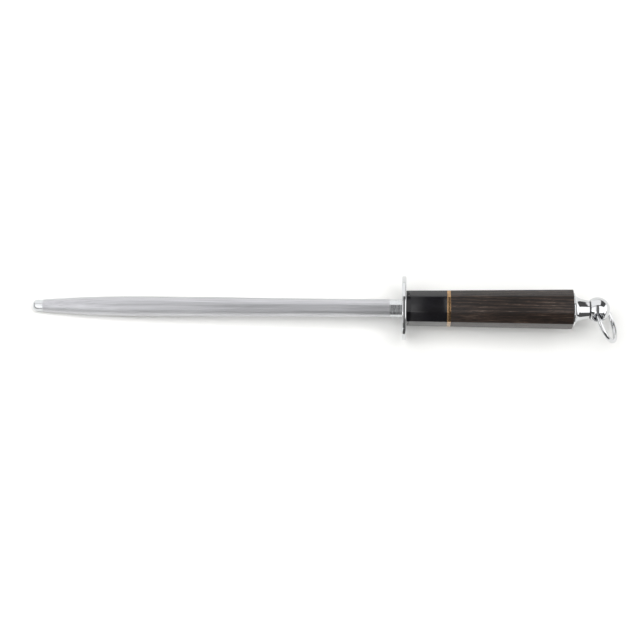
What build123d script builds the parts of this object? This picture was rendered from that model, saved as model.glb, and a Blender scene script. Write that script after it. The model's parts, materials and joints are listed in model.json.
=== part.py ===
from build123d import *
from math import atan2, cos, radians, sin, sqrt
import os

# Knife sharpening steel: a slim fluted steel rod with a round guard, a tapered octagonal
# handle in three materials and a chromed end cap that carries a swivelling ball and a ring.
#
# Frame, in millimetres: +X runs along the rod towards the butt, so the tip points to -X.
# +Z is square to the broad top flat of the handle. The origin is the centre of the guard's
# front face, the face that the rod leaves from.

# ---------------------------------------------------------------- driving dimensions
# rod, in front of the guard
ROD_LENGTH = 254.0  # a ten inch steel, tip to guard
TIP_LENGTH = 7.0  # smooth polished end
TIP_DIAMETER = 8.0
TIP_CORNER = 3.0  # rounding of the blunt end
FLUTE_START_DIAMETER = 8.3
NOSE_LENGTH = 65.0  # long rounded taper behind the tip
BELLY_DIAMETER = 13.4  # widest stretch of the rod
BELLY_LENGTH = 20.0
EASE_LENGTH = 108.0  # belly fades into the parallel shank
SHANK_DIAMETER = 12.2

# tang, hidden in the handle
TANG_DIAMETER = 8.0
TANG_SHORT = 4.4  # the threaded end stops this far short of the butt
TAP_RUN = 2.0  # the threaded hole runs this much past the tang

# guard
GUARD_DIAMETER = 44.0
GUARD_THICKNESS = 3.0
GUARD_ROUND = 0.9
SEAT_DEPTH = 0.8  # the shank sinks this far into the guard

# handle, an elongated octagon that grows evenly towards the butt
HANDLE_LENGTH = 113.4
FRONT_HEIGHT = 24.2  # across the broad flats, at the guard
BUTT_HEIGHT = 27.2
WIDTH_RATIO = 0.894  # across the side flats, as a share of the height
TOP_FLAT_RATIO = 0.439  # width of the broad flats
SIDE_FLAT_RATIO = 0.546  # height of the side flats
EDGE_ROUND = 0.5
BUTT_ROUND = 0.9  # rounding of the end grain's rim
FERRULE_LENGTH = 27.7
SPACER_LENGTH = 2.5

# dowel sleeve that joins ferrule, spacer and grip round the tang
SLEEVE_START = 7.0  # depth of solid ferrule behind the guard
SLEEVE_LENGTH = 50.0
SLEEVE_DIAMETER = 12.0

# end cap
FLANGE_DIAMETER = 22.8
FLANGE_THICKNESS = 1.1
FLANGE_ROUND = 0.4
CAP_LENGTH = 11.0
CAP_WAIST_LENGTH = 3.5  # where the trumpet has narrowed to the waist diameter
CAP_WAIST_DIAMETER = 16.4
CAP_NOSE_DIAMETER = 12.3
SPIGOT_DIAMETER = 12.6
SPIGOT_LENGTH = 13.0
WEB_THICKNESS = 2.8  # wall that the swivel stem passes through
CAVITY_DIAMETER = 6.8
BUTT_WASHER_DIAMETER = 17.0
BUTT_WASHER_THICKNESS = 1.0

# swivel ball
BALL_DIAMETER = 17.0
BALL_LAND = 0.6  # metal between the ball's flat foot and the rounding of the cross hole
BALL_FOOT_ROUND = 0.5
STEM_DIAMETER = 4.0
STEM_TAIL = 2.2  # stem behind the web
SWIVEL_WASHER_THICKNESS = 0.5
SWIVEL_WASHER_DIAMETER = 11.4
STEM_WASHER_THICKNESS = 0.5
STEM_WASHER_DIAMETER = 6.2
CLIP_THICKNESS = 0.6
CLIP_GROOVE_DIAMETER = 3.0
CLIP_DIAMETER = 6.2
CLIP_GAP = 2.4

# hanging ring
RING_WIRE = 3.0
RING_RADIUS = 14.5  # to the centre of the wire
RING_HOLE_ROUND = 0.8  # rounding of the cross hole's mouths
HOLE_ROLL = 30.0  # degrees that the cross hole is rolled from level
RING_HANG = 60.0  # degrees that the ring has dropped from straight behind the ball

# clearances, on radius for round fits
SLIP = 0.05  # parts that slide together when the handle is assembled
TANG_PLAY = 0.2  # loose holes round the tang
RUNNING = 0.05  # stem in the web
END_PLAY = 0.1  # faces that turn past each other
RING_PLAY = 0.325  # each side of the wire in the ball's cross hole, beyond its bow

# ---------------------------------------------------------------- worked out from them
TIP_X = -ROD_LENGTH
FLUTE_X = TIP_X + TIP_LENGTH
BELLY_X = FLUTE_X + NOSE_LENGTH
SHANK_X = BELLY_X + BELLY_LENGTH + EASE_LENGTH
FERRULE_X = GUARD_THICKNESS
SPACER_X = FERRULE_X + FERRULE_LENGTH
GRIP_X = SPACER_X + SPACER_LENGTH
BUTT_X = FERRULE_X + HANDLE_LENGTH
SLEEVE_X = FERRULE_X + SLEEVE_START
SLEEVE_END = SLEEVE_X + SLEEVE_LENGTH
TANG_END = BUTT_X - TANG_SHORT
TAP_END = TANG_END + TAP_RUN
SPIGOT_X = BUTT_X - SPIGOT_LENGTH
CAP_NOSE_X = BUTT_X + CAP_LENGTH
WEB_X = CAP_NOSE_X - WEB_THICKNESS
FOOT_X = CAP_NOSE_X + SWIVEL_WASHER_THICKNESS + END_PLAY
BALL_R = BALL_DIAMETER / 2
RING_BOW = RING_RADIUS - sqrt(RING_RADIUS**2 - BALL_R**2)  # bend of the wire inside the ball
RING_HOLE = RING_WIRE + RING_BOW + 2 * RING_PLAY
RING_OFFSET = RING_RADIUS - RING_BOW / 2  # ball centre to ring centre, so that the bow is shared
MOUTH_REACH = (RING_HOLE / 2 + RING_HOLE_ROUND) * BALL_R / (BALL_R - RING_HOLE_ROUND)
BALL_X = FOOT_X + BALL_LAND + MOUTH_REACH
STEM_WASHER_X = WEB_X - END_PLAY - STEM_WASHER_THICKNESS
CLIP_X = STEM_WASHER_X - CLIP_THICKNESS
STEM_X = CLIP_X - STEM_TAIL
LONG = 400.0  # longer than any cut


# ---------------------------------------------------------------- shared shapes
def rod_along_x(x_start, x_end, diameter):
    """A plain round bar on the X axis."""
    blank = Cylinder(diameter / 2, x_end - x_start, align=(Align.CENTER, Align.CENTER, Align.MIN))
    return Pos(x_start, 0, 0) * Rot(0, 90, 0) * blank


def washer(x_start, thickness, outer, inner):
    """A flat ring on the X axis."""
    return rod_along_x(x_start, x_start + thickness, outer) - rod_along_x(
        x_start - 1, x_start + thickness + 1, inner
    )


def turned(*lines):
    """A solid turned about the X axis from an outline whose y is the radius."""
    return revolve(make_face(Curve() + list(lines)), Axis.X)


def handle_section(x, height):
    """The octagon across the handle at one place."""
    half_w = WIDTH_RATIO * height / 2
    half_h = height / 2
    flat_y = TOP_FLAT_RATIO * height / 2
    flat_z = SIDE_FLAT_RATIO * height / 2
    quarter = [(flat_y, half_h), (half_w, flat_z), (half_w, -flat_z), (flat_y, -half_h)]
    corners = quarter + [(-y, z) for y, z in reversed(quarter)]
    return make_face(Polyline([(x, y, z) for y, z in corners], close=True))


def handle_blank():
    """The whole octagonal handle as one solid, before it is parted into its materials."""
    blank = loft(
        [handle_section(FERRULE_X, FRONT_HEIGHT), handle_section(BUTT_X, BUTT_HEIGHT)], ruled=True
    )
    long_edges = [edge for edge in blank.edges() if edge.length > HANDLE_LENGTH / 2]
    blank = fillet(long_edges, EDGE_ROUND)
    return fillet(blank.faces().sort_by(Axis.X)[-1].edges(), BUTT_ROUND)


def handle_slice(blank, x_start, x_end):
    """The stretch of the handle between two places."""
    slab = Pos((x_start + x_end) / 2, 0, 0) * Box(x_end - x_start, LONG, LONG)
    return blank & slab


# ---------------------------------------------------------------- pieces
def sharpening_rod():
    """Tip, fluted body, shank and hidden tang, forged as one piece."""
    tip_r, flute_r = TIP_DIAMETER / 2, FLUTE_START_DIAMETER / 2
    belly_r, shank_r, tang_r = BELLY_DIAMETER / 2, SHANK_DIAMETER / 2, TANG_DIAMETER / 2
    corner = TIP_CORNER * (1 - cos(radians(45)))
    nose = TangentArc((BELLY_X, belly_r), (FLUTE_X, flute_r), tangent=(-1, 0))
    ease = Spline(
        [(BELLY_X + BELLY_LENGTH, belly_r), (SHANK_X, shank_r)], tangents=[(1, 0), (1, 0)]
    )
    return turned(
        Line((TIP_X, 0), (TIP_X, tip_r - TIP_CORNER)),
        ThreePointArc(
            (TIP_X, tip_r - TIP_CORNER), (TIP_X + corner, tip_r - corner), (TIP_X + TIP_CORNER, tip_r)
        ),
        Line((TIP_X + TIP_CORNER, tip_r), (FLUTE_X, tip_r)),
        Line((FLUTE_X, tip_r), (FLUTE_X, flute_r)),
        nose,
        Line((BELLY_X, belly_r), (BELLY_X + BELLY_LENGTH, belly_r)),
        ease,
        Line((SHANK_X, shank_r), (SEAT_DEPTH, shank_r)),
        Line((SEAT_DEPTH, shank_r), (SEAT_DEPTH, tang_r)),
        Line((SEAT_DEPTH, tang_r), (TANG_END, tang_r)),
        Line((TANG_END, tang_r), (TANG_END, 0)),
        Line((TANG_END, 0), (TIP_X, 0)),
    )


def guard():
    """Round steel disc with a shallow seat for the shank."""
    disc = rod_along_x(0, GUARD_THICKNESS, GUARD_DIAMETER)
    disc = fillet(disc.edges().filter_by(GeomType.CIRCLE), GUARD_ROUND)
    seat = rod_along_x(-1, SEAT_DEPTH, SHANK_DIAMETER + 2 * SLIP)
    bore = rod_along_x(-1, GUARD_THICKNESS + 1, TANG_DIAMETER + 2 * SLIP)
    return disc - seat - bore


def ferrule(blank):
    """Black front block of the handle, bored for the tang and the sleeve."""
    block = handle_slice(blank, FERRULE_X, SPACER_X)
    block -= rod_along_x(0, LONG, TANG_DIAMETER + 2 * TANG_PLAY)
    return block - rod_along_x(SLEEVE_X, LONG, SLEEVE_DIAMETER + 2 * SLIP)


def spacer(blank):
    """Thin brass plate between ferrule and grip."""
    plate = handle_slice(blank, SPACER_X, GRIP_X)
    return plate - rod_along_x(0, LONG, SLEEVE_DIAMETER + 2 * SLIP)


def grip(blank):
    """Wooden grip, bored for the sleeve, the tang, the cap's spigot and the butt washer."""
    block = handle_slice(blank, GRIP_X, BUTT_X)
    block -= rod_along_x(0, LONG, TANG_DIAMETER + 2 * TANG_PLAY)
    block -= rod_along_x(0, SLEEVE_END, SLEEVE_DIAMETER + 2 * SLIP)
    block -= rod_along_x(SPIGOT_X, LONG, SPIGOT_DIAMETER + 2 * SLIP)
    return block - rod_along_x(BUTT_X - BUTT_WASHER_THICKNESS, LONG, BUTT_WASHER_DIAMETER + 2 * SLIP)


def dowel_sleeve():
    """Hollow wooden dowel that lines up ferrule, spacer and grip."""
    return washer(SLEEVE_X, SLEEVE_LENGTH, SLEEVE_DIAMETER, TANG_DIAMETER + 2 * TANG_PLAY)


def butt_washer():
    """Flat washer that spreads the cap's pull over the end grain."""
    start = BUTT_X - BUTT_WASHER_THICKNESS
    return washer(start, BUTT_WASHER_THICKNESS, BUTT_WASHER_DIAMETER, SPIGOT_DIAMETER + 2 * SLIP)


def end_cap():
    """Trumpet-shaped cap with a threaded spigot that pulls the handle together."""
    flange_r, nose_r = FLANGE_DIAMETER / 2, CAP_NOSE_DIAMETER / 2
    rim = flange_r - FLANGE_ROUND
    flange_end = BUTT_X + FLANGE_THICKNESS
    bend = FLANGE_ROUND * (1 - cos(radians(45)))
    trumpet = Spline(
        [
            (flange_end, rim),
            (BUTT_X + CAP_WAIST_LENGTH, CAP_WAIST_DIAMETER / 2),
            (CAP_NOSE_X, nose_r),
        ],
        tangents=[(0.3, -1), (1, 0)],
    )
    body = turned(
        Line((SPIGOT_X, 0), (SPIGOT_X, SPIGOT_DIAMETER / 2)),
        Line((SPIGOT_X, SPIGOT_DIAMETER / 2), (BUTT_X, SPIGOT_DIAMETER / 2)),
        Line((BUTT_X, SPIGOT_DIAMETER / 2), (BUTT_X, flange_r)),
        Line((BUTT_X, flange_r), (flange_end - FLANGE_ROUND, flange_r)),
        ThreePointArc(
            (flange_end - FLANGE_ROUND, flange_r), (flange_end - bend, flange_r - bend), (flange_end, rim)
        ),
        trumpet,
        Line((CAP_NOSE_X, nose_r), (CAP_NOSE_X, 0)),
        Line((CAP_NOSE_X, 0), (SPIGOT_X, 0)),
    )
    body -= rod_along_x(SPIGOT_X - 1, TAP_END, TANG_DIAMETER + 2 * SLIP)
    body -= rod_along_x(SPIGOT_X - 1, WEB_X, CAVITY_DIAMETER)
    return body - rod_along_x(SPIGOT_X - 1, LONG, STEM_DIAMETER + 2 * RUNNING)


def swivel_washer():
    """Thin washer in the seam between the cap and the ball."""
    return washer(
        CAP_NOSE_X, SWIVEL_WASHER_THICKNESS, SWIVEL_WASHER_DIAMETER, STEM_DIAMETER + 2 * RUNNING
    )


def bored_ball():
    """Ball with a cross hole along Y whose mouths are rounded, centred on the origin."""
    hole_r, mouth = RING_HOLE / 2, RING_HOLE_ROUND
    # the mouth's arc touches the hole wall and, from inside, the ball
    arc_r = hole_r + mouth
    arc_y = sqrt((BALL_R - mouth) ** 2 - arc_r**2)
    grow = BALL_R / (BALL_R - mouth)
    half_turn = atan2(arc_y, arc_r) / 2 + radians(90)
    mid_r, mid_y = arc_r + mouth * cos(half_turn), arc_y + mouth * sin(half_turn)
    outline = Curve() + [
        Line((hole_r, -arc_y), (hole_r, arc_y)),
        ThreePointArc((hole_r, arc_y), (mid_r, mid_y), (arc_r * grow, arc_y * grow)),
        ThreePointArc((arc_r * grow, arc_y * grow), (BALL_R, 0), (arc_r * grow, -arc_y * grow)),
        ThreePointArc((arc_r * grow, -arc_y * grow), (mid_r, -mid_y), (hole_r, -arc_y)),
    ]
    return revolve(make_face(outline), Axis.Y)


def swivel_ball():
    """Ball with a flat foot, a cross hole with rounded mouths, and the stem it turns on."""
    ball = Pos(BALL_X, 0, 0) * Rot(180 - HOLE_ROLL, 0, 0) * bored_ball()
    ball &= Pos(FOOT_X + LONG / 2, 0, 0) * Box(LONG, LONG, LONG)
    foot_edge = ball.edges().filter_by(GeomType.CIRCLE).sort_by(Axis.X)[0]
    ball = fillet(foot_edge, BALL_FOOT_ROUND)
    stem = rod_along_x(STEM_X, FOOT_X + 1, STEM_DIAMETER)
    stem -= washer(CLIP_X, CLIP_THICKNESS, STEM_DIAMETER + 2, CLIP_GROOVE_DIAMETER)
    return ball + stem


def stem_washer():
    """Washer behind the web, under the clip."""
    return washer(STEM_WASHER_X, STEM_WASHER_THICKNESS, STEM_WASHER_DIAMETER, STEM_DIAMETER + 2 * SLIP)


def stem_clip():
    """Open spring clip in the stem's groove."""
    play = 0.02
    clip = washer(
        CLIP_X + play, CLIP_THICKNESS - 2 * play, CLIP_DIAMETER, CLIP_GROOVE_DIAMETER + 2 * play
    )
    slot = Pos(CLIP_X, 0, CLIP_DIAMETER / 2) * Box(LONG, CLIP_GAP, CLIP_DIAMETER)
    return clip - slot


def hanging_ring():
    """Round wire ring through the ball, hanging down at its rest angle."""
    down = Vector(0, -sin(radians(HOLE_ROLL)), -cos(radians(HOLE_ROLL)))
    back = Vector(1, 0, 0)
    lean = radians(RING_HANG)
    to_ring = back * cos(lean) + down * sin(lean)
    normal = back * sin(lean) - down * cos(lean)
    centre = Vector(BALL_X, 0, 0) + to_ring * RING_OFFSET
    return Plane(origin=centre, z_dir=normal) * Torus(RING_RADIUS, RING_WIRE / 2)


# ---------------------------------------------------------------- build
def build_all():
    """Every piece of the steel, by name."""
    blank = handle_blank()
    return {
        "sharpening_rod": sharpening_rod(),
        "guard": guard(),
        "ferrule": ferrule(blank),
        "spacer": spacer(blank),
        "grip": grip(blank),
        "dowel_sleeve": dowel_sleeve(),
        "butt_washer": butt_washer(),
        "end_cap": end_cap(),
        "swivel_washer": swivel_washer(),
        "swivel_ball": swivel_ball(),
        "stem_washer": stem_washer(),
        "stem_clip": stem_clip(),
        "hanging_ring": hanging_ring(),
    }


os.makedirs("parts", exist_ok=True)
for name, piece in build_all().items():
    piece.label = name
    export_step(piece, f"parts/{name}.step")
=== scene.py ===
"""Looks of a knife sharpening steel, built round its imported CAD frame.

Every piece is modelled at its place in the frame, in metres: +X runs along the rod towards
the butt and +Z is square to the handle's broad top flat. Sizes that a class holds are in
millimetres; places come from the boxes of the CAD nodes.
"""

from __future__ import annotations

import json
import logging
import math
from collections.abc import Callable
from dataclasses import dataclass
from enum import Enum

import bmesh
import bpy
from mathutils import Matrix, Vector

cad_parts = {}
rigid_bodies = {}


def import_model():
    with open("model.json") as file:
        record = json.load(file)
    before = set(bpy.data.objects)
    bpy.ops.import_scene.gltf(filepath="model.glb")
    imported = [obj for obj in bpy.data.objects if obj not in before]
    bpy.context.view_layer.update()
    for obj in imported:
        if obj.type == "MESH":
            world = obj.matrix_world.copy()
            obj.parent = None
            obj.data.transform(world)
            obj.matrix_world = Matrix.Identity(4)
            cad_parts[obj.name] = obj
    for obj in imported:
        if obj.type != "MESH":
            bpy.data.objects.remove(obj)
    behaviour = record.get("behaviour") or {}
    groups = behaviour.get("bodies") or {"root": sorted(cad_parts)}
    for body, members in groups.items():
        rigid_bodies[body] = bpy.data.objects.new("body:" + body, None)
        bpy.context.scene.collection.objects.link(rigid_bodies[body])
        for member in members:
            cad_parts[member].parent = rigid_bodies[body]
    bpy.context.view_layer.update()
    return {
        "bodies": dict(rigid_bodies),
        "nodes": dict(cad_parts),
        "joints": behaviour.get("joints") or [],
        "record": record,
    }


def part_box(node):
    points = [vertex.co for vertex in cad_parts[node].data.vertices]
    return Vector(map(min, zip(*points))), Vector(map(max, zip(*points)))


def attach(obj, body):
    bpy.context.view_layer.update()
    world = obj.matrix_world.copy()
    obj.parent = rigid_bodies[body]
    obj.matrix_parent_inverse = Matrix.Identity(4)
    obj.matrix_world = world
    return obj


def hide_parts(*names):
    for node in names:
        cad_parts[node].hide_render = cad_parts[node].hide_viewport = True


LOG = logging.getLogger("sharpening_steel")
MM = 0.001
TOUCH = 1e-6  # metres: two points nearer than this are the same point

Point2 = tuple[float, float]
Point3 = tuple[float, float, float]
Tree = bpy.types.NodeTree
Node = bpy.types.Node
Source = Node | bpy.types.NodeSocket


# ---------------------------------------------------------------- finishes
def linear(colour: str) -> tuple[float, float, float, float]:
    """Turn an sRGB hex colour into Blender's linear colour.

    Args:
        colour: Six hex digits after a hash sign.

    Returns:
        Linear red, green, blue and an alpha of 1.
    """
    channels = [int(colour[i : i + 2], 16) / 255 for i in (1, 3, 5)]
    lit = [c / 12.92 if c <= 0.04045 else ((c + 0.055) / 1.055) ** 2.4 for c in channels]
    return (*lit, 1.0)


def connect(tree: Tree, node: Node, links: dict[str | int, Source]) -> None:
    """Feed a node's inputs.

    Args:
        tree: The tree that both ends are in.
        node: The node that is fed.
        links: What feeds each input, by its name or number; a node gives its first output.
    """
    for key, source in links.items():
        output = source.outputs[0] if isinstance(source, Node) else source
        tree.links.new(output, node.inputs[key])


def add_node(
    tree: Tree,
    kind: str,
    settings: dict[str | int, object] | None = None,
    links: dict[str | int, Source] | None = None,
) -> Node:
    """Add one node with its settings and links.

    Args:
        tree: The tree that gets the node.
        kind: The node's type name.
        settings: Values by socket name, socket number or attribute name.
        links: What feeds each input, as in connect.

    Returns:
        The new node.
    """
    node = tree.nodes.new(kind)
    for key, value in (settings or {}).items():
        if isinstance(key, int) or key in node.inputs:
            node.inputs[key].default_value = value
        else:
            setattr(node, key, value)
    connect(tree, node, links or {})
    return node


def fill_band(node: Node, *stops: tuple[float, str | float]) -> None:
    """Set the stops of a colour ramp.

    Args:
        node: The ramp's node.
        stops: Place of each stop and its hex colour or plain brightness, in order.
    """
    shades = [
        (place, linear(shade) if isinstance(shade, str) else (shade, shade, shade, 1.0))
        for place, shade in stops
    ]
    band = node.color_ramp.elements
    band[0].position, band[0].color = shades[0]
    band[-1].position, band[-1].color = shades[-1]
    for place, colour in shades[1:-1]:
        band.new(place).color = colour


def millimetres(tree: Tree, cell: Point3, turn_x: float = 0.0) -> Node:
    """Give object coordinates in cells of a real size.

    Args:
        tree: The tree that gets the nodes.
        cell: Size of one pattern cell along X, Y and Z, in millimetres.
        turn_x: Turn of the pattern about X, in degrees.

    Returns:
        The node with the scaled coordinates.
    """
    place = add_node(tree, "ShaderNodeTexCoord")
    turn = (math.radians(turn_x), 0.0, 0.0)
    turned = add_node(
        tree, "ShaderNodeMapping", {"Rotation": turn}, {"Vector": place.outputs["Object"]}
    )
    scale = tuple(1 / (size * MM) for size in cell)
    return add_node(tree, "ShaderNodeMapping", {"Scale": scale}, {"Vector": turned})


@dataclass(frozen=True)
class Finish:
    """A material with one colour, gloss and a relief that its subclass adds.

    Attributes:
        name: Name of the Blender material.
        colour: Base colour, sRGB hex.
        metallic: 1 for a bare metal, 0 for anything else.
        roughness: Mean roughness.
        ior: Index of refraction; a metal keeps the shader's default.
    """

    name: str
    colour: str
    metallic: float
    roughness: float
    ior: float = 1.5

    def material(self) -> bpy.types.Material:
        """Give the finish's material, made on first use."""
        made = bpy.data.materials.get(self.name)
        if made is not None:
            return made
        made = bpy.data.materials.new(self.name)
        made.use_nodes = True
        shader = made.node_tree.nodes["Principled BSDF"]
        shader.inputs["Base Color"].default_value = linear(self.colour)
        shader.inputs["Metallic"].default_value = self.metallic
        shader.inputs["Roughness"].default_value = self.roughness
        shader.inputs["IOR"].default_value = self.ior
        made.diffuse_color = linear(self.colour)
        self.detail(made.node_tree, shader)
        return made

    def gloss(self, low: float, high: float, seen: Point2 = (0.3, 0.7)) -> dict[str, float]:
        """Plan how a pattern changes the gloss.

        Args:
            low: Roughness where the pattern is low, as a share of the mean.
            high: The same where it is high.
            seen: The pattern's low and high value.

        Returns:
            Settings of the node that maps the pattern to a roughness.
        """
        low, high = self.roughness * low, self.roughness * high
        return {"From Min": seen[0], "From Max": seen[1], "To Min": low, "To Max": high}

    def detail(self, tree: Tree, shader: Node) -> None:
        """Add what the eye sees beyond colour and gloss: here an even speckle of the gloss.

        Args:
            tree: The material's tree.
            shader: Its shader.
        """
        grit, fine = millimetres(tree, (1.5, 1.5, 1.5)), {"Scale": 1.0, "Detail": 3.0}
        speckle = add_node(tree, "ShaderNodeTexNoise", fine, {"Vector": grit})
        rough = add_node(tree, "ShaderNodeMapRange", self.gloss(0.85, 1.15), {"Value": speckle})
        connect(tree, shader, {"Roughness": rough})


@dataclass(frozen=True)
class PolishedChrome(Finish):
    """Chrome plate on turned and buffed steel: mirror bright, with faint buffing haze.

    Attributes:
        haze_cell: Size of a patch of handling haze, in millimetres.
        buff_cell: Size of a buffing line.
        buff_turn: Turn of the buffing lines about the steel, in degrees.
        buff_depth: Depth of a buffing line.
    """

    haze_cell: Point3 = (14.0, 9.0, 9.0)
    buff_cell: Point3 = (0.25, 9.0, 9.0)
    buff_turn: float = 25.0
    buff_depth: float = 0.002

    def detail(self, tree: Tree, shader: Node) -> None:
        """Add buffing lines and soft handling haze.

        Args:
            tree: The material's tree.
            shader: Its shader.
        """
        patch, fine = millimetres(tree, self.haze_cell), {"Scale": 1.0, "Detail": 3.0}
        haze = add_node(tree, "ShaderNodeTexNoise", fine, {"Vector": patch})
        buff = millimetres(tree, self.buff_cell, self.buff_turn)
        lines = add_node(tree, "ShaderNodeTexNoise", {"Scale": 1.0}, {"Vector": buff})
        both = add_node(tree, "ShaderNodeMath", {"operation": "MULTIPLY"}, {0: haze, 1: lines})
        spread = self.gloss(0.7, 1.6, seen=(0.12, 0.45))
        rough = add_node(tree, "ShaderNodeMapRange", spread, {"Value": both})
        depth = {"Strength": 0.35, "Distance": self.buff_depth * MM}
        relief = add_node(tree, "ShaderNodeBump", depth, {"Height": lines})
        connect(tree, shader, {"Roughness": rough, "Normal": relief})


@dataclass(frozen=True)
class FlutedChrome(Finish):
    """Hard chrome over fine lengthwise flutes: satin, with long scratches from use.

    Attributes:
        worn: Colour in the scratches.
        bright: Colour on the crests.
        scratch_cell: Size of a scratch, in millimetres; drawn coarse enough to show.
        scratch_depth: Its depth.
        cloud_cell: Size of a cloud in the sheen.
    """

    worn: str = "#b2b2b5"
    bright: str = "#d2d2d5"
    scratch_cell: Point3 = (38.0, 0.45, 0.45)
    scratch_depth: float = 0.006
    cloud_cell: Point3 = (26.0, 7.0, 7.0)

    def detail(self, tree: Tree, shader: Node) -> None:
        """Add long draw lines, a cloudy sheen and scratches from knives.

        Args:
            tree: The material's tree.
            shader: Its shader.
        """
        grain = {"Scale": 1.0, "Detail": 3.0, "Roughness": 0.6}
        cell = millimetres(tree, self.scratch_cell)
        draw = add_node(tree, "ShaderNodeTexNoise", grain, {"Vector": cell})
        patch = millimetres(tree, self.cloud_cell)
        cloud = add_node(tree, "ShaderNodeTexNoise", {"Scale": 1.0}, {"Vector": patch})
        tone = add_node(tree, "ShaderNodeValToRGB", links={"Fac": draw})
        fill_band(tone, (0.32, self.worn), (0.5, self.colour), (0.68, self.bright))
        rough = add_node(tree, "ShaderNodeMapRange", self.gloss(0.85, 1.2), {"Value": cloud})
        depth = {"Strength": 0.5, "Distance": self.scratch_depth * MM}
        relief = add_node(tree, "ShaderNodeBump", depth, {"Height": draw})
        connect(tree, shader, {"Base Color": tone, "Roughness": rough, "Normal": relief})


@dataclass(frozen=True)
class LinedStock(Finish):
    """Turned or sanded stock: fine tool lines, over slow clouds of colour if it has any.

    Attributes:
        line_cell: Size of a tool line, in millimetres.
        line_depth: Its depth.
        line_share: Share of that relief that is felt.
        line_gloss: Roughness of the brightest and dullest line, as shares of the mean.
        cloud_cell: Size of a cloud.
        clouds: Values of the cloud pattern, each with its colour; none for one even colour.
    """

    line_cell: Point3 = (5.0, 0.15, 0.15)
    line_depth: float = 0.006
    line_share: float = 0.5
    line_gloss: Point2 = (0.8, 1.25)
    cloud_cell: Point3 = (5.0, 5.0, 5.0)
    clouds: tuple[tuple[float, str], ...] = ()

    def detail(self, tree: Tree, shader: Node) -> None:
        """Add tool lines and clouds of colour.

        Args:
            tree: The material's tree.
            shader: Its shader.
        """
        cell = millimetres(tree, self.line_cell)
        lines = add_node(tree, "ShaderNodeTexNoise", {"Scale": 1.0}, {"Vector": cell})
        spread = self.gloss(*self.line_gloss)
        rough = add_node(tree, "ShaderNodeMapRange", spread, {"Value": lines})
        depth = {"Strength": self.line_share, "Distance": self.line_depth * MM}
        relief = add_node(tree, "ShaderNodeBump", depth, {"Height": lines})
        connect(tree, shader, {"Roughness": rough, "Normal": relief})
        if self.clouds:
            patch = millimetres(tree, self.cloud_cell)
            fine = {"Scale": 1.0, "Detail": 3.0}
            cloud = add_node(tree, "ShaderNodeTexNoise", fine, {"Vector": patch})
            tone = add_node(tree, "ShaderNodeValToRGB", links={"Fac": cloud})
            fill_band(tone, *self.clouds)
            connect(tree, shader, {"Base Color": tone})


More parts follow.
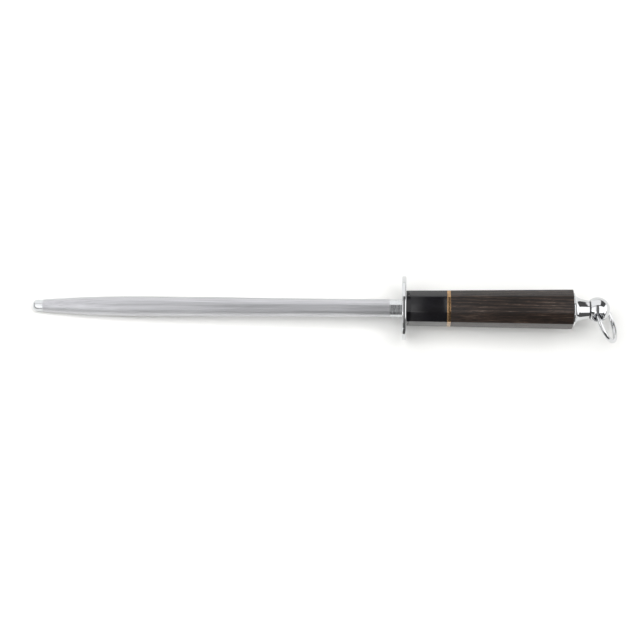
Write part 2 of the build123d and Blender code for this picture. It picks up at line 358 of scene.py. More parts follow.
@dataclass(frozen=True)
class OiledWenge(Finish):
    """Wenge, planed and oiled: dark brown with fine wavy streaks and long open pores.

    Attributes:
        light: Colour of the soft layers.
        dark: Colour of the dense layers.
        fleck: Colour of the few pale flecks.
        pore: Colour in an open pore.
        streak_cell: Size of a streak, in millimetres.
        band_cell: Length and spacing of the growth layers where they run out on a face.
        layer_turn: How far the layers are turned about the handle's length, in degrees.
        zone_cell: Size of a lighter or darker stretch.
        pore_cell: Size of an open pore; drawn coarse enough to show.
        pore_depth: Its depth.
    """

    light: str = "#3d2f27"
    dark: str = "#0a0706"
    fleck: str = "#6b5d53"
    pore: str = "#0e0a09"
    streak_cell: Point3 = (8.0, 0.6, 0.6)
    band_cell: Point3 = (24.2, 1.1, 1.1)
    layer_turn: float = 28.0
    zone_cell: Point3 = (30.0, 7.0, 7.0)
    pore_cell: Point3 = (4.0, 0.28, 0.28)
    pore_depth: float = 0.05

    def figure(self, tree: Tree, streak: Node) -> Node:
        """Mix streaks, faint arching layers and slow zones.

        Args:
            tree: The material's tree.
            streak: The streak pattern.

        Returns:
            The node with the mixed value, about 0.4 to 1.
        """
        # the node repeats every tau / 20 units, so this scale gives each cell one band
        bands = {
            "wave_type": "BANDS",
            "bands_direction": "Z",
            "Scale": math.tau / 20,
            "Distortion": 7.0,
            "Detail": 4.0,
            "Detail Scale": 0.6,
            "Detail Roughness": 0.6,
        }
        band = millimetres(tree, self.band_cell, self.layer_turn)
        layers = add_node(tree, "ShaderNodeTexWave", bands, {"Vector": band})
        stretch = millimetres(tree, self.zone_cell)
        zone = add_node(tree, "ShaderNodeTexNoise", {"Scale": 1.0}, {"Vector": stretch})
        share = {"data_type": "FLOAT", "Factor": 0.2}
        mixed = add_node(tree, "ShaderNodeMix", share, {2: streak, 3: layers.outputs["Fac"]})
        weigh = {"operation": "MULTIPLY_ADD", 1: 0.35}
        return add_node(tree, "ShaderNodeMath", weigh, {0: zone, 2: mixed})

    def detail(self, tree: Tree, shader: Node) -> None:
        """Add the figure, pale flecks and open pores.

        Args:
            tree: The material's tree.
            shader: Its shader.
        """
        grain = {"Scale": 1.0, "Detail": 4.0, "Roughness": 0.65, "Distortion": 1.1}
        cell = millimetres(tree, self.streak_cell)
        streak = add_node(tree, "ShaderNodeTexNoise", grain, {"Vector": cell})
        figure = self.figure(tree, streak)
        tone = add_node(tree, "ShaderNodeValToRGB", links={"Fac": figure})
        layers = (0.46, self.dark), (0.66, self.colour), (0.84, self.light), (0.96, self.fleck)
        fill_band(tone, *layers)
        slit, coarse = millimetres(tree, self.pore_cell), {"Scale": 1.0, "Detail": 1.0}
        pores = add_node(tree, "ShaderNodeTexNoise", coarse, {"Vector": slit})
        opening = {"From Min": 0.62, "From Max": 0.72}
        open_pore = add_node(tree, "ShaderNodeMapRange", opening, {"Value": pores})
        inside = {"data_type": "RGBA", 7: linear(self.pore)}
        wood = add_node(tree, "ShaderNodeMix", inside, {0: open_pore, 6: tone})
        spread = self.gloss(1.1, 0.9, seen=(0.5, 0.9))
        rough = add_node(tree, "ShaderNodeMapRange", spread, {"Value": figure})
        ridges = {"From Min": 0.3, "From Max": 0.7, "To Min": 0.7}
        ridge = add_node(tree, "ShaderNodeMapRange", ridges, {"Value": streak})
        sink = {"operation": "MULTIPLY_ADD", 1: -1.0}
        height = add_node(tree, "ShaderNodeMath", sink, {0: open_pore, 2: ridge})
        depth = {"Strength": 0.6, "Distance": self.pore_depth * MM}
        relief = add_node(tree, "ShaderNodeBump", depth, {"Height": height})
        links = {"Base Color": wood.outputs[2], "Roughness": rough, "Normal": relief}
        connect(tree, shader, links)


@dataclass(frozen=True)
class PlainStock(Finish):
    """Stock of a hidden piece, with a plain lengthwise or even grain.

    Attributes:
        grain: Size of the grain along X, Y and Z, in millimetres.
        shade: The grain's second colour.
        grain_depth: Depth of the grain.
    """

    grain: Point3 = (1.0, 1.0, 1.0)
    shade: str = "#808080"
    grain_depth: float = 0.02

    def detail(self, tree: Tree, shader: Node) -> None:
        """Add the grain in colour and relief.

        Args:
            tree: The material's tree.
            shader: Its shader.
        """
        cell, fine = millimetres(tree, self.grain), {"Scale": 1.0, "Detail": 3.0}
        fibre = add_node(tree, "ShaderNodeTexNoise", fine, {"Vector": cell})
        tone = add_node(tree, "ShaderNodeValToRGB", links={"Fac": fibre})
        fill_band(tone, (0.35, self.shade), (0.65, self.colour))
        depth = {"Strength": 0.5, "Distance": self.grain_depth * MM}
        relief = add_node(tree, "ShaderNodeBump", depth, {"Height": fibre})
        connect(tree, shader, {"Base Color": tone, "Normal": relief})


CHROME = PolishedChrome("polished_chrome", "#d3d4d6", 1.0, 0.06)
# ground and polished tip and shank: bright, with turning lines round the rod
STEEL = LinedStock(
    "bright_steel", "#d4d6d8", 1.0, 0.2, 1.5, (0.35, 12.0, 12.0), 0.002, 0.3, (0.7, 1.5)
)
FLUTES = FlutedChrome("fluted_hard_chrome", "#c6c6ca", 1.0, 0.36)
# cast, sanded and waxed: near black and glossy
RESIN = LinedStock(
    "cast_black_resin",
    "#0c0b0e",
    0.0,
    0.12,
    line_cell=(7.0, 0.18, 0.18),
    cloud_cell=(9.0, 5.0, 5.0),
    clouds=((0.35, "#0c0b0e"), (0.7, "#141317")),
)
# plate brass, sanded flush and a little tarnished: warm and satin
BRASS = LinedStock(
    "sanded_brass",
    "#b8966f",
    1.0,
    0.2,
    line_gloss=(0.8, 1.3),
    cloud_cell=(2.5, 4.0, 4.0),
    clouds=((0.35, "#9a7c5c"), (0.62, "#b8966f")),
)
WENGE = OiledWenge("oiled_wenge", "#1e1612", 0.0, 0.32, 1.4)
BEECH = PlainStock("beech_dowel", "#c39a6b", 0.0, 0.6, 1.5, (12.0, 0.4, 0.4), "#a87c50")
FIBRE = PlainStock("vulcanised_fibre", "#7a2f22", 0.0, 0.6, 1.5, (0.4, 0.4, 0.4), "#5d2018")
NYLON = PlainStock("black_nylon", "#1b1b1d", 0.0, 0.5, 1.53, (0.6, 0.6, 0.6), "#121213")
SPRING = PlainStock("blued_spring_steel", "#5b6068", 1.0, 0.32, 1.5, (0.3, 0.3, 0.3), "#41454c")
# matt white sweep that the steel lies on
PAPER = Finish("paper_sweep", "#f6f6f4", 0.0, 0.95)


class Hidden(Enum):
    """Hidden CAD nodes that keep their own mesh, with the finish of each."""

    DOWEL = ("dowel_sleeve", BEECH)
    BUTT_WASHER = ("butt_washer", FIBRE)
    SEAM_WASHER = ("swivel_washer", NYLON)
    STEM_WASHER = ("stem_washer", SPRING)
    STEM_CLIP = ("stem_clip", SPRING)


# ---------------------------------------------------------------- bench
def deselect() -> None:
    """Leave edit mode and deselect every object."""
    if bpy.context.object is not None and bpy.context.object.mode != "OBJECT":
        bpy.ops.object.mode_set(mode="OBJECT")
    bpy.ops.object.select_all(action="DESELECT")


def arc(centre: Point2, radius: float, start: float, end: float, steps: int) -> list[Point2]:
    """Points of an arc of an outline.

    Args:
        centre: The arc's centre, along the axis and out from it.
        radius: The arc's radius.
        start: Angle of the first point from the axis, in degrees.
        end: Angle of the last point.
        steps: Number of spans.

    Returns:
        The points, both ends included.
    """
    angles = [math.radians(start + (end - start) * i / steps) for i in range(steps + 1)]
    return [
        (centre[0] + radius * math.cos(angle), centre[1] + radius * math.sin(angle))
        for angle in angles
    ]


@dataclass
class Bench:
    """One mesh on the bench, shaped in edit mode with Blender's own operators.

    Attributes:
        piece: The object that is being made.
    """

    piece: bpy.types.Object

    @classmethod
    def begin(cls, name: str) -> Bench:
        """Take the primitive that was just added, put its place into its mesh and open it.

        Args:
            name: The piece's name.

        Returns:
            The bench, in edit mode.
        """
        piece = bpy.context.object
        piece.name = name
        piece.data.name = name
        bpy.ops.object.transform_apply(location=True, rotation=True, scale=True)
        bpy.ops.object.mode_set(mode="EDIT")
        return cls(piece)

    @classmethod
    def turn(cls, name: str, outline: list[Point2], segments: int, hollow: bool) -> Bench:
        """Turn an outline about the X axis, ring by ring.

        Args:
            name: The piece's name.
            outline: Place along X and radius of each ring, in metres.
            segments: Number of sides of a ring.
            hollow: True for an outline that closes on itself round a bore, false for a
                solid that ends in flat faces.

        Returns:
            The bench, in edit mode with all selected.
        """
        deselect()
        start_x, start_r = outline[0]
        bpy.ops.mesh.primitive_circle_add(
            vertices=segments,
            radius=start_r,
            fill_type="NOTHING" if hollow else "NGON",
            location=(start_x, 0.0, 0.0),
            rotation=(0.0, math.radians(90), 0.0),
        )
        bench = cls.begin(name)
        bpy.ops.mesh.select_mode(type="EDGE" if hollow else "FACE")
        bpy.ops.mesh.select_all(action="SELECT")
        bench.draw_out(outline + outline[:1] if hollow else outline)
        bpy.ops.mesh.select_all(action="SELECT")
        bpy.ops.mesh.remove_doubles(threshold=TOUCH)
        bpy.ops.mesh.normals_make_consistent(inside=False)
        return bench

    def draw_out(self, rings: list[Point2]) -> None:
        """Extrude what is selected along X, ring by ring.

        Args:
            rings: Place along X and radius of the selected ring and of each new one, in metres.
        """
        for (last_x, last_r), (x, r) in zip(rings, rings[1:]):
            step = {"value": (x - last_x, 0.0, 0.0)}
            bpy.ops.mesh.extrude_region_move(TRANSFORM_OT_translate=step)
            factor = r / last_r
            if abs(factor - 1) > TOUCH:
                across = (1.0, factor, factor)
                bpy.ops.transform.resize(value=across, center_override=(x, 0.0, 0.0))

    def pick(self, kind: str, test: Callable[..., bool]) -> None:
        """Select the points, edges or faces that pass a test, and nothing else.

        Args:
            kind: "VERT", "EDGE" or "FACE".
            test: Gets the bmesh element and says whether it is wanted.
        """
        bpy.ops.mesh.select_mode(type=kind)
        bpy.ops.mesh.select_all(action="DESELECT")
        mesh = bmesh.from_edit_mesh(self.piece.data)
        group = {"VERT": mesh.verts, "EDGE": mesh.edges, "FACE": mesh.faces}[kind]
        for element in filter(test, group):
            element.select_set(True)
        mesh.select_flush_mode()
        bmesh.update_edit_mesh(self.piece.data)

    def bevel(self, width: float, segments: int) -> None:
        """Round the selected edges.

        Args:
            width: How far the rounding reaches from the edge, in metres.
            segments: Facets of the rounding.
        """
        bpy.ops.mesh.bevel(
            offset_type="OFFSET", offset=width, segments=segments, profile=0.5, affect="EDGES"
        )

    def paint(self, finish: Finish, test: Callable[[bmesh.types.BMFace], bool]) -> None:
        """Give the faces that pass a test a finish of their own.

        Args:
            finish: The finish.
            test: Gets a face and says whether it takes the finish.
        """
        self.piece.data.materials.append(finish.material())
        self.pick("FACE", test)
        self.piece.active_material_index = len(self.piece.data.materials) - 1
        bpy.ops.object.material_slot_assign()

    def close(self, body: str, slot: str, *nodes: str, smooth: float = 35.0) -> bpy.types.Object:
        """Leave edit mode, smooth the piece and hand it to the frame.

        Args:
            body: The CAD body that it rides on.
            slot: The record's material slot; not used.
            nodes: The CAD nodes that it stands for.
            smooth: Faces that meet at less than this angle are shaded smooth, in degrees.

        Returns:
            The finished piece.
        """
        bpy.ops.mesh.select_all(action="DESELECT")
        bpy.ops.object.mode_set(mode="OBJECT")
        bpy.ops.object.shade_smooth_by_angle(angle=math.radians(smooth))
        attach(self.piece, body)
        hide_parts(*nodes)
        LOG.info("%s: %d faces", self.piece.name, len(self.piece.data.polygons))
        return self.piece


# ---------------------------------------------------------------- rod and guard
@dataclass
class FlutedRod:
    """The forged rod: polished tip, fluted body, polished shank and hidden tang.

    Attributes:
        tip_corner: Rounding of the blunt tip, in millimetres.
        start_diameter: Diameter where the flutes begin.
        nose_length: Length of the rounded taper behind the tip.
        belly_length: Length of the widest stretch.
        ease_length: Length over which the belly fades into the shank.
        seat_depth: How far the shank sinks into the guard.
        flutes: Number of lengthwise flutes, drawn wide enough to show.
        flute_depth: Depth of a flute.
        run_out: Length over which a flute fades in at each end.
    """

    tip_length: float = 7.0
    tip_diameter: float = 8.0
    tip_corner: float = 3.0
    start_diameter: float = 8.3
    nose_length: float = 65.0
    belly_length: float = 20.0
    ease_length: float = 108.0
    shank_diameter: float = 12.2
    shank_length: float = 8.3
    seat_depth: float = 0.8
    tang_diameter: float = 8.0
    flutes: int = 48
    flute_depth: float = 0.085
    run_out: float = 1.4

    def __post_init__(self) -> None:
        """Take the rod's ends and its widest radius from the frame."""
        low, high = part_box("sharpening_rod")
        self.tip_x = low.x
        self.tang_x = high.x
        self.belly_r = (high.y - low.y) / 2
        self.flute_x = self.tip_x + self.tip_length * MM
        self.flute_end = -self.shank_length * MM

    def nose(self, steps: int = 26) -> list[Point2]:
        """Give the long rounded taper, an arc that ends level with the belly."""
        length = self.nose_length * MM
        drop = self.belly_r - self.start_diameter / 2 * MM
        radius = (length**2 + drop**2) / (2 * drop)
        spans = [length * i / steps for i in range(steps + 1)]
        return [
            (self.flute_x + s, self.belly_r - radius + math.sqrt(radius**2 - (length - s) ** 2))
            for s in spans
        ]

    def ease(self, steps: int = 18) -> list[Point2]:
        """Give the fade from the belly to the parallel shank."""
        start = self.flute_x + (self.nose_length + self.belly_length) * MM
        fall = self.shank_diameter / 2 * MM - self.belly_r
        shares = [i / steps for i in range(steps + 1)]
        return [
            (start + t * self.ease_length * MM, self.belly_r + fall * t * t * (3 - 2 * t))
            for t in shares
        ]

    def outline(self) -> list[Point2]:
        """Give the whole rod's outline, from the tip's flat to the end of the tang."""
        tip_r, shank_r = self.tip_diameter / 2 * MM, self.shank_diameter / 2 * MM
        tang_r, seat = self.tang_diameter / 2 * MM, self.seat_depth * MM
        corner, fade = self.tip_corner * MM, self.run_out * MM
        nose = self.nose()
        fade_r = nose[0][1] + (nose[1][1] - nose[0][1]) * fade / (nose[1][0] - nose[0][0])
        return [
            *arc((self.tip_x + corner, tip_r - corner), corner, 180, 90, 8),
            (self.flute_x, tip_r),
            nose[0],
            (self.flute_x + fade, fade_r),
            *nose[1:],
            *self.ease(),
            (self.flute_end - fade, shank_r),
            (self.flute_end, shank_r),
            (0.0, shank_r),
            (seat, shank_r),
            (seat, tang_r),
            (self.tang_x, tang_r),
        ]

    def cut_flutes(self, bench: Bench) -> None:
        """Press the flutes into the turned rod.

        Args:
            bench: The rod, in edit mode.
        """
        fade = self.run_out * MM - TOUCH
        first, last = self.flute_x + fade, self.flute_end - fade
        # four points span a flute: its middle goes in all the way, its flanks half way
        for share, offsets in ((1.0, (2,)), (0.5, (1, 3))):

            def in_flute(vert: bmesh.types.BMVert) -> bool:
                """Say whether a point lies at this height of a flute."""
                turn = math.atan2(vert.co.z, vert.co.y) / math.tau * self.flutes * 4
                return first < vert.co.x < last and round(turn) % 4 in offsets

            bench.pick("VERT", in_flute)
            factor = 1 - share * self.flute_depth * MM / self.belly_r
            bpy.ops.transform.resize(value=(1.0, factor, factor), center_override=(0.0, 0.0, 0.0))

    def build(self) -> bpy.types.Object:
        """Model the rod and dress it."""
        bench = Bench.turn("rod", self.outline(), self.flutes * 4, hollow=False)
        self.cut_flutes(bench)
        bench.paint(STEEL, lambda face: True)
        bench.paint(
            FLUTES,
            lambda face: self.flute_x < face.calc_center_median().x < self.flute_end,
        )
        return bench.close("handle", "fluted_steel", "sharpening_rod")


@dataclass
class Guard:
    """The round guard, with rounded rims and a shallow seat for the shank."""

    rim_round: float = 0.9
    bore_radius: float = 4.05
    seat_radius: float = 6.15
    seat_depth: float = 0.8
    segments: int = 160

    def build(self) -> bpy.types.Object:
        """Model the guard and dress it."""
        low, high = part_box("guard")
        rim, curve = high.y, self.rim_round * MM
        bore, seat = self.bore_radius * MM, self.seat_radius * MM
        outline = [
            (high.x, bore),
            (low.x + self.seat_depth * MM, bore),
            (low.x + self.seat_depth * MM, seat),
            (low.x, seat),
            *arc((low.x + curve, rim - curve), curve, 180, 90, 8),
            *arc((high.x - curve, rim - curve), curve, 90, 0, 8),
        ]
        bench = Bench.turn("guard_disc", outline, self.segments, hollow=True)
        bench.paint(CHROME, lambda face: True)
        return bench.close("handle", "chrome", "guard")


# ---------------------------------------------------------------- handle
@dataclass
class OctagonalHandle:
    """Ferrule, spacer and grip: one tapered octagon parted into three materials.

    Attributes:
        front_height: Height across the broad flats at the guard, in millimetres.
        butt_height: The same at the butt.
        width_ratio: Width across the side flats, as a share of the height.
        chamfer_ratio: Leg of a corner chamfer, as a share of the height.
        edge_round: Rounding of the long edges.
        joint_round: Tiny break of the edges where two materials meet.
        butt_round: Rounding of the grip's end.
    """

    front_height: float = 24.2
    butt_height: float = 27.2
    width_ratio: float = 0.894
    chamfer_ratio: float = 0.2277
    edge_round: float = 0.5
    joint_round: float = 0.07
    butt_round: float = 0.9

    def __post_init__(self) -> None:
        """Take the handle's ends from the frame."""
        self.front_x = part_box("ferrule")[0].x
        self.butt_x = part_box("grip")[1].x

    def height(self, x: float) -> float:
        """Height of the octagon at one place along the handle, in metres."""
        share = (x - self.front_x) / (self.butt_x - self.front_x)
        return (self.front_height + (self.butt_height - self.front_height) * share) * MM

    def block(self, name: str, node: str) -> Bench:
        """Shape one material's stretch of the octagon.

        Args:
            name: The piece's name.
            node: The CAD node whose stretch it takes.

        Returns:
            The bench, in edit mode.
        """
        low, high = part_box(node)
        front, back = self.height(low.x), self.height(high.x)
        deselect()
        bpy.ops.mesh.primitive_cube_add(
            size=1.0,
            location=((low.x + high.x) / 2, 0.0, 0.0),
            scale=(high.x - low.x, self.width_ratio * front, front),
        )
        bench = Bench.begin(name)
        length = high.x - low.x
        bench.pick("EDGE", lambda edge: self.runs_along(edge, length))
        bench.bevel(self.chamfer_ratio * front, 1)
        bench.pick("VERT", lambda vert: abs(vert.co.x - high.x) < TOUCH)
        growth = back / front
        bpy.ops.transform.resize(
            value=(1.0, growth, growth), center_override=(high.x, 0.0, 0.0)
        )
        bench.pick("EDGE", lambda edge: self.runs_along(edge, length))
        bench.bevel(self.edge_round * MM, 4)
        return bench

    @staticmethod
    def runs_along(edge: bmesh.types.BMEdge, length: float) -> bool:
        """Say whether an edge runs the whole length of a block."""
        return abs(edge.verts[0].co.x - edge.verts[1].co.x) > length * 0.9

    @staticmethod
    def break_end(bench: Bench, x: float, width: float, segments: int) -> None:
        """Break the sharp rim at one end of a block.

        Args:
            bench: The block, in edit mode.
            x: The end's place.
            width: Width of the break, in millimetres.
            segments: Facets of the break.
        """
        bench.pick("EDGE", lambda edge: all(abs(end.co.x - x) < TOUCH for end in edge.verts))
        bench.bevel(width * MM, segments)

    def build(self) -> list[bpy.types.Object]:
        """Model the three stretches of the handle and dress them."""
        made = []
        plan = (
            ("ferrule_block", "ferrule", RESIN, "black_resin", self.joint_round),
            ("spacer_plate", "spacer", BRASS, "brass", self.joint_round),
            ("grip_block", "grip", WENGE, "wenge", self.butt_round),
        )
        for name, node, finish, slot, back_break in plan:
            low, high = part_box(node)
            bench = self.block(name, node)
            self.break_end(bench, low.x, self.joint_round, 2)
            self.break_end(bench, high.x, back_break, 3)
            bench.paint(finish, lambda face: True)
            made.append(bench.close("handle", slot, node, smooth=25.0))
        return made


# ---------------------------------------------------------------- butt fittings
@dataclass
class TrumpetCap:
    """The chromed end cap: a thin flange that sweeps in to a narrow nose.

    Attributes:
        sweep: Power of the sweep from flange to nose; larger is more hollow.
        sweep_start: How far the sweep starts below the flange's rim, in flange roundings.
    """

    flange_thickness: float = 1.1
    flange_round: float = 0.4
    nose_radius: float = 6.15
    nose_round: float = 0.25
    spigot_radius: float = 6.3
    tap_radius: float = 4.05
    tap_end: float = 114.0
    cavity_radius: float = 3.4
    stem_radius: float = 2.05
    web: float = 2.8
    sweep: float = 1.25
    sweep_start: float = 1.05
    segments: int = 144

    def trumpet(self, start: Point2, end: Point2, steps: int = 26) -> list[Point2]:
        """Give the hollow sweep, steep at the flange and level at the nose.

        Args:
            start: Place and radius at the flange.
            end: Place and radius at the nose.
            steps: Number of spans, closer together at the flange.

        Returns:
            The points between the two, both included.
        """
        shares = [i / steps for i in range(steps + 1)]
        return [
            (
                start[0] + (end[0] - start[0]) * t * t,
                end[1] + (start[1] - end[1]) * (1 - t) ** self.sweep,
            )
            for t in shares
        ]

    def build(self) -> bpy.types.Object:
        """Model the cap and dress it."""
        low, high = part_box("end_cap")
        butt_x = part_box("grip")[1].x
        rim, curve = high.y, self.flange_round * MM
        flange_x = butt_x + self.flange_thickness * MM
        nose, nose_break = self.nose_radius * MM, self.nose_round * MM
        web_x = high.x - self.web * MM
        spigot, tap, cavity = self.spigot_radius * MM, self.tap_radius * MM, self.cavity_radius * MM
        outline = [
            (low.x, tap),
            (low.x, spigot),
            (butt_x, spigot),
            (butt_x, rim),
            *arc((flange_x - curve, rim - curve), curve, 90, 0, 6),
            *self.trumpet(
                (flange_x, rim - curve * self.sweep_start), (high.x - nose_break, nose)
            )[1:-1],
            *arc((high.x - nose_break, nose - nose_break), nose_break, 90, 0, 5),
            (high.x, self.stem_radius * MM),
            (web_x, self.stem_radius * MM),
            (web_x, cavity),
            (self.tap_end * MM, cavity),
            (self.tap_end * MM, tap),
        ]
        bench = Bench.turn("trumpet_cap", outline, self.segments, hollow=True)
        bench.paint(CHROME, lambda face: True)
        return bench.close("handle", "chrome", "end_cap")


@dataclass
class SwivelBall:
    """The ball with its cross hole, flat foot and the stem that it turns on.

    Attributes:
        hole_roll: How far the cross hole is rolled from level, in degrees.
        foot_break: Height of the chamfer round the foot, in millimetres.
        foot_inset: Width of that chamfer, as a share of its height.
        foot_gap: Play between the foot and its washer.
    """

    hole_radius: float = 3.2
    mouth_round: float = 0.8
    hole_roll: float = 30.0
    foot_break: float = 0.22
    foot_inset: float = 1.6
    foot_gap: float = 0.1
    stem_radius: float = 2.0
    groove_radius: float = 1.5
    segments: int = 160

    def __post_init__(self) -> None:
        """Take the ball's centre and radius from the frame."""
        low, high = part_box("swivel_ball")
        self.radius = (high.z - low.z) / 2
        self.centre = Vector((high.x - self.radius, 0.0, 0.0))
        self.stem_x = low.x
        self.foot_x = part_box("swivel_washer")[1].x + self.foot_gap * MM

    def outline(self) -> list[Point2]:
        """Give the closed outline of ball, mouths and hole, about the hole's axis."""
        ball, hole, mouth = self.radius, self.hole_radius * MM, self.mouth_round * MM
        lip_r = hole + mouth
        lip_x = math.sqrt((ball - mouth) ** 2 - lip_r**2)
        reach = math.degrees(math.atan2(lip_r, lip_x))
        return [
            *arc((0.0, 0.0), ball, reach, 180 - reach, 64),
            *arc((-lip_x, lip_r), mouth, 180 - reach, 270, 9)[1:],
            *arc((lip_x, lip_r), mouth, -90, reach, 9)[:-1],
        ]

    def build(self) -> bpy.types.Object:
        """Model the ball with its stem and dress it."""
        bench = Bench.turn("ball", self.outline(), self.segments, hollow=True)
        deselect()
        roll = math.radians(self.hole_roll)
        hole_axis = Vector((0.0, -math.cos(roll), math.sin(roll)))
        back = Vector((1.0, 0.0, 0.0))
        turn = Matrix((hole_axis, back, hole_axis.cross(back))).transposed().to_4x4()
        bench.piece.matrix_world = Matrix.Translation(self.centre) @ turn
        bench.piece.select_set(True)
        bpy.context.view_layer.objects.active = bench.piece
        bpy.ops.object.transform_apply(location=True, rotation=True, scale=True)
        bpy.ops.object.mode_set(mode="EDIT")
        self.cut_foot(bench)
        bench.paint(CHROME, lambda face: True)
        return bench.close("swivel", "chrome", "swivel_ball")

    def cut_foot(self, bench: Bench) -> None:
        """Cut the flat foot and draw the stem out of it.

        Args:
            bench: The ball, in edit mode.
        """
        step = self.foot_break * MM
        cut_x = self.foot_x + step
        bpy.ops.mesh.select_all(action="SELECT")
        bpy.ops.mesh.bisect(
            plane_co=(cut_x, 0.0, 0.0), plane_no=(1.0, 0.0, 0.0), use_fill=True, clear_inner=True
        )
        edge_r = math.sqrt(self.radius**2 - (self.centre.x - cut_x) ** 2)
        bench.pick("FACE", lambda face: face.normal.x < -0.999 and len(face.verts) > 8)
        clip_low, clip_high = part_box("stem_clip")
        stem, groove = self.stem_radius * MM, self.groove_radius * MM
        rings = [
            (cut_x, edge_r),
            (self.foot_x, edge_r - self.foot_inset * step),
            (self.foot_x, stem),
            (clip_high.x, stem),
            (clip_high.x, groove),
            (clip_low.x, groove),
            (clip_low.x, stem),
            (self.stem_x, stem),
        ]
        bench.draw_out(rings)


@dataclass
class HangingRing:
    """The wire ring through the ball, hanging at its rest angle, with its butt joint.

    Attributes:
        hang: How far the ring has dropped from straight behind the ball, in degrees.
        offset: From the ball's centre to the ring's centre, in millimetres.
        joint_depth: Depth of the fine groove where the wire's ends meet.
    """

    wire_radius: float = 1.5
    ring_radius: float = 14.5
    offset: float = 13.124
    hang: float = 60.0
    joint_width: float = 0.25
    joint_depth: float = 0.12
    major: int = 224
    minor: int = 40

    def build(self, ball: SwivelBall) -> bpy.types.Object:
        """Model the ring and dress it.

        Args:
            ball: The ball that it hangs from.

        Returns:
            The finished ring.
        """
        roll, lean = math.radians(ball.hole_roll), math.radians(self.hang)
        down = Vector((0.0, -math.sin(roll), -math.cos(roll)))
        back = Vector((1.0, 0.0, 0.0))
        to_ring = back * math.cos(lean) + down * math.sin(lean)
        normal = back * math.sin(lean) - down * math.cos(lean)
        centre = ball.centre + to_ring * self.offset * MM
        turn = Matrix((-to_ring, normal.cross(-to_ring), normal)).transposed()
        deselect()
        bpy.ops.mesh.primitive_torus_add(
            major_radius=self.ring_radius * MM,
            minor_radius=self.wire_radius * MM,
            major_segments=self.major,
            minor_segments=self.minor,
            location=centre,
            rotation=turn.to_euler(),
        )
        bench = Bench.begin("wire_ring")
        self.cut_joint(bench, centre, to_ring, normal)
        bench.paint(CHROME, lambda face: True)
        return bench.close("ring", "chrome", "hanging_ring")

    def cut_joint(self, bench: Bench, centre: Vector, to_ring: Vector, normal: Vector) -> None:
        """Press the fine groove of the butt joint, on the side of the wire inside the ball.

        Args:
            bench: The ring, in edit mode.
            centre: The ring's centre.
            to_ring: Direction from the ball to the ring's centre.
            normal: The ring's normal.
        """
        side = normal.cross(to_ring)
        wire = centre - to_ring * self.ring_radius * MM
        reach = math.tau * self.ring_radius * MM / self.major

        def at_joint(edge: bmesh.types.BMEdge) -> bool:
            """Say whether an edge lies round the wire at the joint."""
            ends = [end.co - centre for end in edge.verts]
            return all(abs(end.dot(side)) < reach * 0.5 and end.dot(to_ring) < 0 for end in ends)

        bench.pick("EDGE", at_joint)
        bench.bevel(self.joint_width * MM, 2)
        width = self.joint_width * MM * 0.2  # well inside the bevel, so only its middle line

        def in_groove(vert: bmesh.types.BMVert) -> bool:
            """Say whether a point lies on the joint's middle line."""
            place = vert.co - centre
            return abs(place.dot(side)) < width and place.dot(to_ring) < 0

        bench.pick("VERT", in_groove)
        factor = 1 - self.joint_depth / self.wire_radius
        bpy.ops.transform.resize(value=(factor, factor, factor), center_override=wire)


# ---------------------------------------------------------------- studio
@dataclass
class SoftLight:
    """One soft studio light, which shades the set but is not mirrored in it.

    Attributes:
        name: Its name.
        place: Where it stands, in metres; it faces the origin.
        size: Width and height of its face.
        power: Power in watts.
    """

    name: str
    place: Point3
    size: Point2
    power: float

    def build(self) -> None:
        """Hang the light."""
        data = bpy.data.lights.new(self.name, "AREA")
        data.shape = "RECTANGLE"
        data.size, data.size_y = self.size
        data.energy = self.power
        light = bpy.data.objects.new(self.name, data)
        bpy.context.scene.collection.objects.link(light)
        light.location = self.place
        look = Vector() - Vector(self.place)
        light.rotation_euler = look.to_track_quat("-Z", "Y").to_euler()
        light.visible_glossy = False
        light.visible_camera = False


@dataclass
class Card:
    """A glowing panel seen only in glossy reflections: a painted reflection that stands for a
    board, cloth or flag; the camera and diffuse light do not see it and it casts no shadow.

    Attributes:
        name: Its name.
        corner: One corner, in metres.
        along: From that corner along the edge on which the brightness changes.
        across: From that corner along the other edge.
        shades: Places along the card from 0 to 1, each with its brightness.
    """

    name: str
    corner: Vector
    along: Vector
    across: Vector
    shades: tuple[Point2, ...]

    def build(self) -> None:
        """Put the card up."""
        first, second = self.along.normalized(), self.across.normalized()
        frame = Matrix((first, second, first.cross(second))).transposed().to_4x4()
        middle = self.corner + (self.along + self.across) / 2
        deselect()
        bpy.ops.mesh.primitive_plane_add(size=1.0)
        card = bpy.context.object
        card.name = self.name
        card.matrix_world = Matrix.Translation(middle) @ frame
        card.scale = (self.along.length, self.across.length, 1.0)
        card.data.materials.append(self.material())
        card.visible_camera = False
        card.visible_diffuse = False
        card.visible_shadow = False

    def material(self) -> bpy.types.Material:
        """Give the card its glow, which changes along its length."""
        made = bpy.data.materials.new(self.name)
        made.use_nodes = True
        tree = made.node_tree
        tree.nodes.remove(tree.nodes["Principled BSDF"])
        place = add_node(tree, "ShaderNodeTexCoord")
        split = add_node(tree, "ShaderNodeSeparateXYZ", links={0: place.outputs["Object"]})
        half = {"operation": "ADD", 1: 0.5}
        share = add_node(tree, "ShaderNodeMath", half, {0: split.outputs["X"]})
        fade = add_node(tree, "ShaderNodeValToRGB", links={"Fac": share})
        fill_band(fade, *self.shades)
        glow = add_node(tree, "ShaderNodeEmission", links={"Color": fade})
        connect(tree, tree.nodes["Material Output"], {"Surface": glow})
        return made


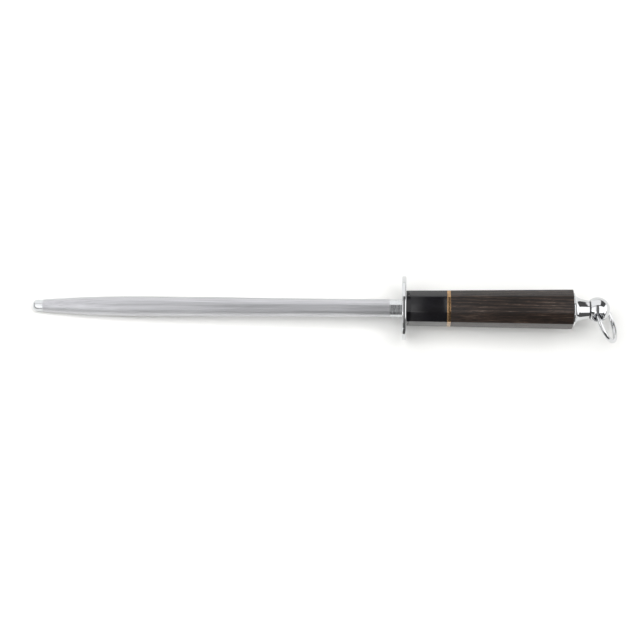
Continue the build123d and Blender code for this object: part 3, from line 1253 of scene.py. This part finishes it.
@dataclass
class Studio:
    """Pale paper, soft light, glowing cards that paint the reflections, and the camera.

    Attributes:
        elevation: Height of the camera above the handle's broad flat's horizon, in degrees.
        distance: From the rod's axis to the camera, in metres.
        middle: The point of the rod's axis nearest to the middle of the view, in metres.
        drop: How far below the axis the middle of the view lies, in metres.
        roll: Turn of the camera about its view, in degrees.
        lens: Focal length in millimetres.
        sensor: Width of the camera's frame in millimetres.
        paper: Width of the paper, in metres.
        paper_gap: How far the paper lies under the guard, in millimetres.
    """

    elevation: float = 76.0
    distance: float = 1.3
    middle: float = -0.056
    drop: float = 0.00853
    roll: float = 0.43
    lens: float = 106.83
    sensor: float = 36.0
    paper: float = 9.0
    paper_gap: float = 0.05

    def lay_paper(self) -> None:
        """Lay the paper under the two points that the steel rests on, tip and guard."""
        tip_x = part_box("sharpening_rod")[0].x + FlutedRod.tip_corner * MM
        guard_low, guard_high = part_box("guard")
        half_land = (guard_high.x - guard_low.x) / 2 - Guard.rim_round * MM
        rest_x = (guard_low.x + guard_high.x) / 2 - half_land
        rise = (-FlutedRod.tip_diameter / 2 * MM - guard_low.z) / (rest_x - tip_x)
        slope = math.atan(rise)
        deselect()
        bpy.ops.mesh.primitive_plane_add(
            size=self.paper,
            location=(rest_x, 0.0, guard_low.z - self.paper_gap * MM),
            rotation=(0.0, slope, 0.0),
        )
        paper = bpy.context.object
        paper.name = "paper"
        paper.data.materials.append(PAPER.material())

    def hang_lights(self) -> None:
        """Hang the soft lights and set the dim room round them."""
        rig = (
            SoftLight("overhead_box", (0.0, 0.0, 1.5), (2.4, 1.1), 30.0),
            SoftLight("far_box", (0.0, 1.7, 1.0), (2.4, 1.0), 5.0),
            SoftLight("near_box", (0.0, -1.6, 1.2), (2.4, 1.0), 5.0),
        )
        for light in rig:
            light.build()
        world = bpy.data.worlds.new("room")
        bpy.context.scene.world = world
        world.use_nodes = True
        background = world.node_tree.nodes["Background"]
        background.inputs["Color"].default_value = linear("#ffffff")
        background.inputs["Strength"].default_value = 0.2

    @staticmethod
    def strip(
        name: str, start: float, end: float, shades: tuple[Point2, ...], reach: float = 2.0
    ) -> Card:
        """Plan a glowing card that runs along the steel and shows only in reflections.

        Args:
            name: The card's name.
            start: Angle of its first long edge from +Y over the top, in degrees.
            end: Angle of its other long edge.
            shades: Places along X in metres, each with its brightness.
            reach: How far it stands from the steel, in metres.

        Returns:
            The card.
        """
        low, high = shades[0][0], shades[-1][0]
        edges = [
            Vector((low, reach * math.cos(turn), reach * math.sin(turn)))
            for turn in (math.radians(start), math.radians(end))
        ]
        steps = tuple(((x - low) / (high - low), bright) for x, bright in shades)
        along = Vector((high - low, 0.0, 0.0))
        return Card(name, edges[0], along, edges[1] - edges[0], steps)

    def put_up_cards(self) -> None:
        """Put up the glowing cards that paint the bright and dark reflections of the room in the
        steel's glossy parts.
        """
        dark = 0.1
        # each card glows at set brightnesses along its length and shows only in reflections:
        # painted reflections, bright and dark, of the room round the steel
        cards = (
            self.strip("far_board_reflection", 1, 61, ((-3.0, 1.2), (0.8, 1.2), (0.95, dark), (3.1, dark))),
            self.strip("far_flag_reflection", 61, 76, ((-3.0, 0.9), (-0.5, 0.8), (-0.1, 0.13), (3.1, dark))),
            self.strip(
                "overhead_cloth_reflection",
                76,
                128,
                ((-3.0, 1.6), (-0.64, 1.5), (-0.5, 1.1), (-0.2, 0.2), (3.1, dark)),
            ),
            self.strip("butt_cloth_reflection", 70, 144, ((0.42, 1.6), (3.1, 1.6)), 1.9),
            self.strip(
                "near_flag_reflection",
                128,
                158,
                ((-3.0, dark), (-1.0, dark), (-0.85, 1.6), (-0.3, 1.3), (-0.12, 0.15), (3.1, dark)),
            ),
            self.strip(
                "near_wall_reflection", 158, 180, ((-3.0, 0.5), (-0.5, 0.4), (-0.1, 0.12), (3.1, dark))
            ),
            self.strip("near_lamp", 120, 131, ((-3.0, 2.6), (-0.45, 2.2), (-0.3, 0.4)), 1.8),
            # a dim glowing sheet just above the paper: a painted darker reflection of the table in
            # front of the steel
            Card(
                "near_table_reflection",
                Vector((-3.0, -0.07, -0.02)),
                Vector((6.1, 0.0, 0.0)),
                Vector((0.0, -1.9, 0.0)),
                ((0.0, 0.3), (0.44, 0.2), (0.485, dark), (1.0, dark)),
            ),
            Card(
                "end_box",
                Vector((3.1, -2.0, -0.3)),
                Vector((0.0, 4.0, 0.0)),
                Vector((0.0, 0.0, 2.6)),
                ((0.0, 1.7), (1.0, 1.7)),
            ),
        )
        for card in cards:
            card.build()

    def place_camera(self) -> None:
        """Stand the camera in the guard's plane and aim it at the middle of the steel."""
        tilt = math.radians(self.elevation)
        guard_low, guard_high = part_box("guard")
        stand = Vector(
            (
                (guard_low.x + guard_high.x) / 2,
                -self.distance * math.cos(tilt),
                self.distance * math.sin(tilt),
            )
        )
        up = Vector((0.0, math.sin(tilt), math.cos(tilt)))
        aim = Vector((self.middle, 0.0, 0.0)) - up * self.drop
        look = (aim - stand).normalized()
        right = look.cross(up).normalized()
        upright = right.cross(look)
        turn = math.radians(self.roll)
        right_rolled = right * math.cos(turn) + upright * math.sin(turn)
        up_rolled = upright * math.cos(turn) - right * math.sin(turn)
        data = bpy.data.cameras.new("camera")
        data.lens = self.lens
        data.sensor_width = self.sensor
        camera = bpy.data.objects.new("camera", data)
        bpy.context.scene.collection.objects.link(camera)
        frame = Matrix((right_rolled, up_rolled, -look)).transposed().to_4x4()
        camera.matrix_world = Matrix.Translation(stand) @ frame
        bpy.context.scene.camera = camera

    def build(self) -> None:
        """Set up the whole studio."""
        self.lay_paper()
        self.hang_lights()
        self.put_up_cards()
        self.place_camera()
        bpy.context.scene.view_settings.view_transform = "Standard"


def dress_hidden(nodes: dict[str, bpy.types.Object]) -> None:
    """Give each hidden CAD node its finish.

    Args:
        nodes: The CAD nodes by name.
    """
    for hidden in Hidden:
        node, finish = hidden.value
        slots = nodes[node].data.materials
        slots.clear()
        slots.append(finish.material())
        LOG.info("%s keeps its CAD mesh", node)


def main() -> None:
    """Build the steel's looks round the frame."""
    logging.basicConfig(level=logging.INFO, format="%(name)s: %(message)s")
    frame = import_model()
    FlutedRod().build()
    Guard().build()
    OctagonalHandle().build()
    TrumpetCap().build()
    ball = SwivelBall()
    ball.build()
    HangingRing().build(ball)
    dress_hidden(frame["nodes"])
    Studio().build()


if __name__ == "__main__":
    main()
